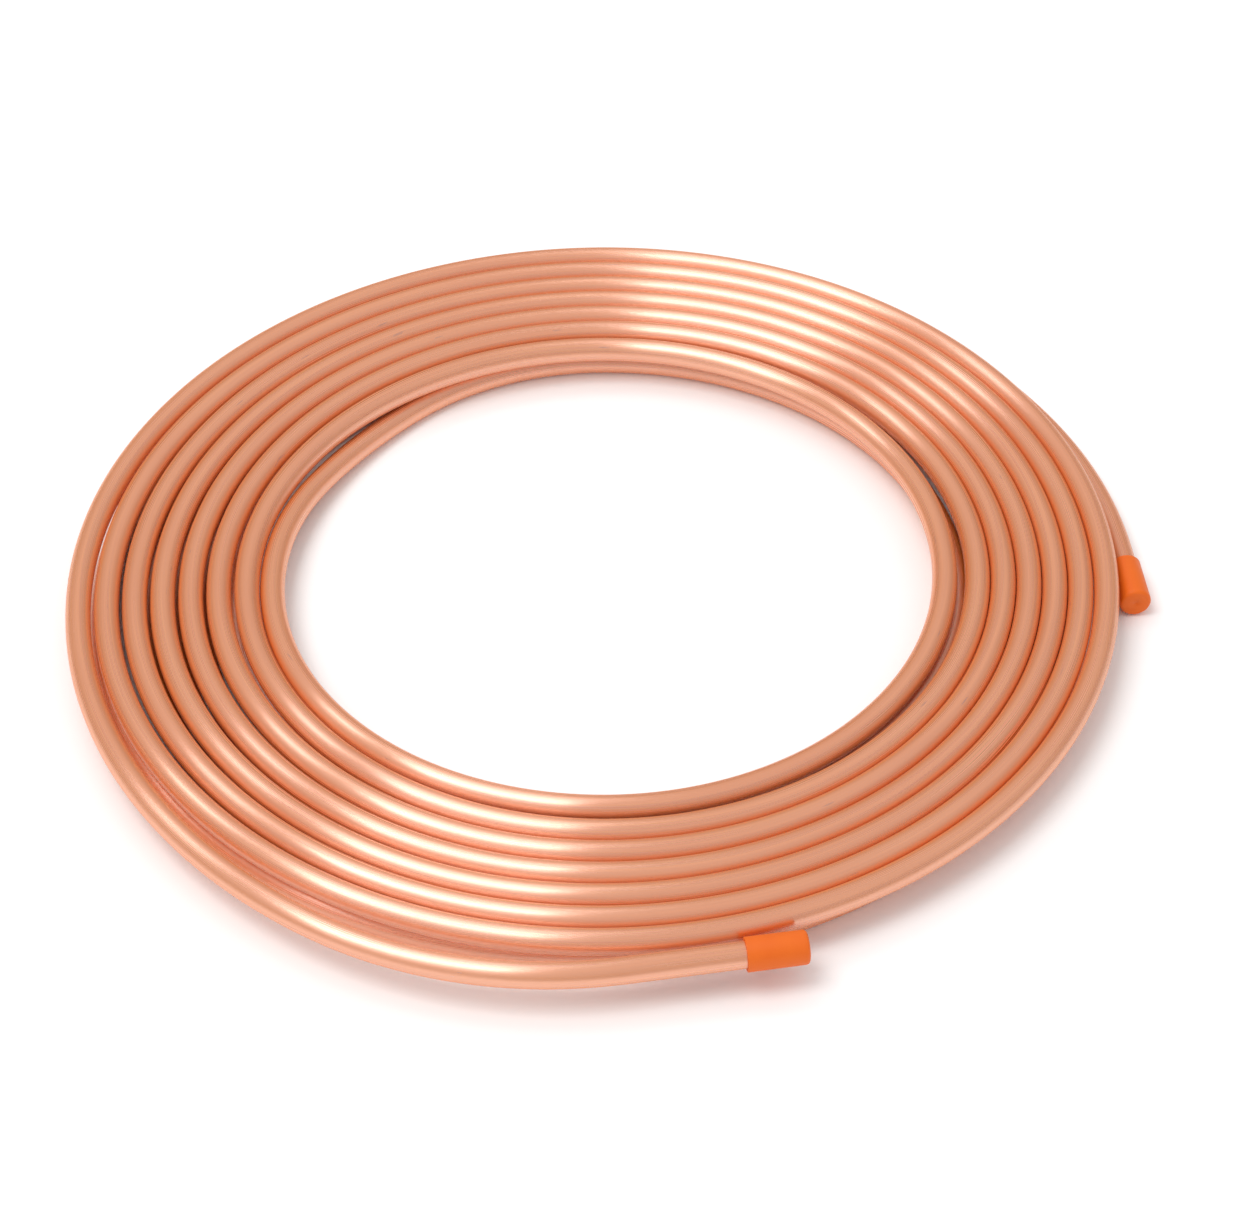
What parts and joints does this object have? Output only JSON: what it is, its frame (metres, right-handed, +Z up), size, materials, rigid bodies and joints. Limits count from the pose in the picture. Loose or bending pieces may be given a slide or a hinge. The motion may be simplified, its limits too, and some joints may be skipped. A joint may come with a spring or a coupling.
{
  "type": "copper tube coil",
  "caption": "Flat two-layer coil of soft copper tube with an open eye, both ends on the outside and closed by orange push-on caps.",
  "frame": {"origin": "centre of the coil's eye, on the floor that it lies on", "axes": "+Z up through the eye, -Y towards the side with the upper end cap, +X towards the lower end cap"},
  "size_m": [0.4113, 0.4091, 0.0205],
  "materials": {
    "copper": "satin drawn copper",
    "cap_plastic": "satin orange moulded plastic"
  },
  "bodies": {
    "root": {"copper_tube": "copper", "upper_end_cap": "cap_plastic", "lower_end_cap": "cap_plastic"}
  },
  "joints": []
}
